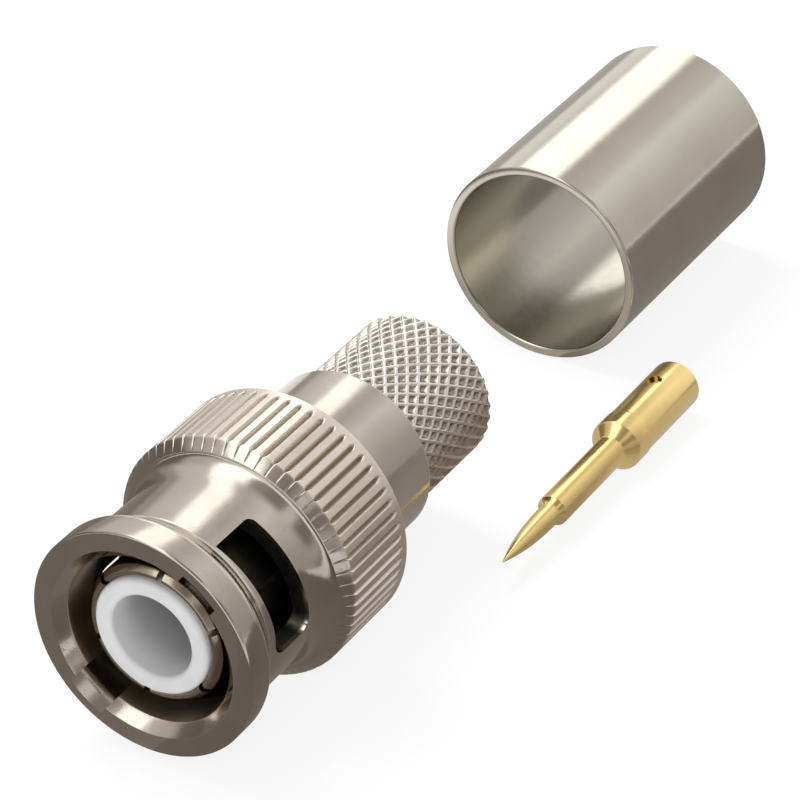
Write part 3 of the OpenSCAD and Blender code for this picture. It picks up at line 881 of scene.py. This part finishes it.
class PLUG_OT_stage(bpy.types.Operator):
    """Builds the floor, the light tent, the lamps and the camera"""

    bl_idname = "plug.stage"
    bl_label = "Stage"

    def sheet(self, name, points, faces, material):
        """A stage object with a material."""
        mesh = bpy.data.meshes.new(name)
        mesh.from_pydata([tuple(c * MM for c in p) for p in points], [], faces)
        mesh.materials.append(material)
        obj = placed(name, mesh)
        return obj

    def reflected(self, name, points, faces, material):
        """A stage object that only reflections see."""
        obj = self.sheet(name, points, faces, material)
        obj.visible_camera = obj.visible_diffuse = obj.visible_shadow = False
        obj.visible_transmission = obj.visible_volume_scatter = False

    def floor(self):
        s = new_material("floor white")
        paper = s.node("ShaderNodeBsdfDiffuse", inputs={"Color": (0.93, 0.93, 0.93, 1)})
        glow = s.node("ShaderNodeEmission", inputs={"Color": (1, 1, 1, 1), "Strength": 1.0})
        shown = s.node("ShaderNodeMixShader", inputs={0: s.seen() * 0.86, 1: paper, 2: glow})
        s.node("ShaderNodeOutputMaterial", inputs={"Surface": shown})
        reach, z = 1200, FLOOR_Z / MM - 0.01
        corners = [(-reach, -reach, z), (reach, -reach, z), (reach, reach, z), (-reach, reach, z)]
        self.sheet("floor", corners, [(0, 1, 2, 3)], s.owner)

    def tent(self):
        """Half a tube round the plug's axis, whose brightness changes round it and along it."""
        s = new_material("light tent")
        x, y, z = s.axes(s.place())
        turn = s.node("ShaderNodeMath", {"operation": "ARCTAN2"}, {0: z, 1: y}) * (180 / math.pi)
        ahead, beside, beyond = (
            graded(s, turn, levels) for levels in (TENT_AHEAD, TENT_BESIDE, TENT_BEYOND))
        far_half = s.mix(x.ramp(*BESIDE_TO_BEYOND), beside, beyond)
        bright = s.mix(x.ramp(*AHEAD_TO_BESIDE), ahead, far_half)
        angles = np.radians(np.linspace(-4, 184, 95))
        points = [round_axis(x, TENT_R, a) for x in (TENT_FRONT, TENT_BACK) for a in angles]
        n = len(angles)
        faces = [(i, i + 1, n + i + 1, n + i) for i in range(n - 1)]
        self.reflected("light_tent", points, faces, s.glow(bright, BRIGHTEST))

    def card(self, name, first, last, slant, levels):
        """A card just over the floor from y first to y last. Its levels follow x + slant * y."""
        s = new_material(name)
        x, y, _ = s.axes(s.place())
        finish = s.glow(graded(s, x + y * slant, levels), BRIGHTEST)
        z = FLOOR_Z / MM + 0.02
        corners = [
            (CARD_FRONT, first, z), (CARD_BACK, first, z), (CARD_BACK, last, z), (CARD_FRONT, last, z)]
        self.reflected(name, corners, [(0, 1, 2, 3)], finish)

    def lamps(self):
        middle = Vector((30, 0, 0)) * MM
        for name, place, size, power in (
                ("key", (60, 130, 220), 160, 0.75), ("fill", (-160, -120, 160), 180, 0.22)):
            data = bpy.data.lights.new(name, "AREA")
            data.shape, data.size, data.energy = "DISK", size * MM, power
            lamp = placed(name, data)
            lamp.location = Vector(place) * MM
            lamp.rotation_mode = "QUATERNION"
            lamp.rotation_quaternion = (middle - lamp.location).to_track_quat("-Z", "Y")
            lamp.visible_glossy = False

    def world(self, context):
        """Soft light all round, which is white where it shows."""
        world = bpy.data.worlds.new("studio")
        context.scene.world = world
        s = Shader(world)
        strength = 0.55 + s.seen() * 0.45
        light = s.node("ShaderNodeBackground", inputs={"Color": (1, 1, 1, 1), "Strength": strength})
        s.node("ShaderNodeOutputWorld", inputs={"Surface": light})

    def camera(self, context):
        data = bpy.data.cameras.new("camera")
        data.sensor_width, data.lens = SENSOR, LENS
        data.clip_start, data.clip_end = 0.01, 10
        obj = placed("camera", data)
        obj.location = Vector(CAMERA_PLACE) * MM
        obj.rotation_mode = "QUATERNION"
        obj.rotation_quaternion = Vector(CAMERA_AIM).to_track_quat("-Z", "Y")
        context.scene.camera = obj

    def execute(self, context):
        context.scene.view_settings.view_transform = "Standard"
        self.floor()
        self.tent()
        self.card("card_near", -CARD_SIDE, 0, 1, NEAR_CARD)
        self.card("card_far", 0, CARD_SIDE, -1, FAR_CARD)
        self.lamps()
        self.world(context)
        self.camera(context)
        return {"FINISHED"}


class PLUG_PT_pieces(bpy.types.Panel):
    """Lists the plug's sizes, colours and pieces"""

    bl_idname = "PLUG_PT_pieces"
    bl_label = "Bayonet plug"
    bl_space_type = "VIEW_3D"
    bl_region_type = "UI"
    bl_category = "Plug"

    def draw(self, context):
        for group in (context.scene.plug_sizes, context.scene.plug_colours):
            for name in group.bl_rna.properties.keys():
                if name not in ("rna_type", "name"):
                    self.layout.prop(group, name)
        for operator in OPERATORS:
            self.layout.operator(operator.bl_idname)


OPERATORS = (
    PLUG_OT_coupling_nut, PLUG_OT_plug_body, PLUG_OT_outer_contact, PLUG_OT_insulators,
    PLUG_OT_spring_pack, PLUG_OT_crimp_sleeve, PLUG_OT_centre_contact, PLUG_OT_stage)
CLASSES = (PlugSizes, PlugColours, *OPERATORS, PLUG_PT_pieces)


def register():
    for cls in CLASSES:
        bpy.utils.register_class(cls)
    bpy.types.Scene.plug_sizes = PointerProperty(type=PlugSizes)
    bpy.types.Scene.plug_colours = PointerProperty(type=PlugColours)


def unregister():
    del bpy.types.Scene.plug_colours
    del bpy.types.Scene.plug_sizes
    for cls in reversed(CLASSES):
        bpy.utils.unregister_class(cls)


def main():
    register()
    for operator in OPERATORS:
        group, name = operator.bl_idname.split(".")
        getattr(getattr(bpy.ops, group), name)()


if __name__ == "__main__":
    main()
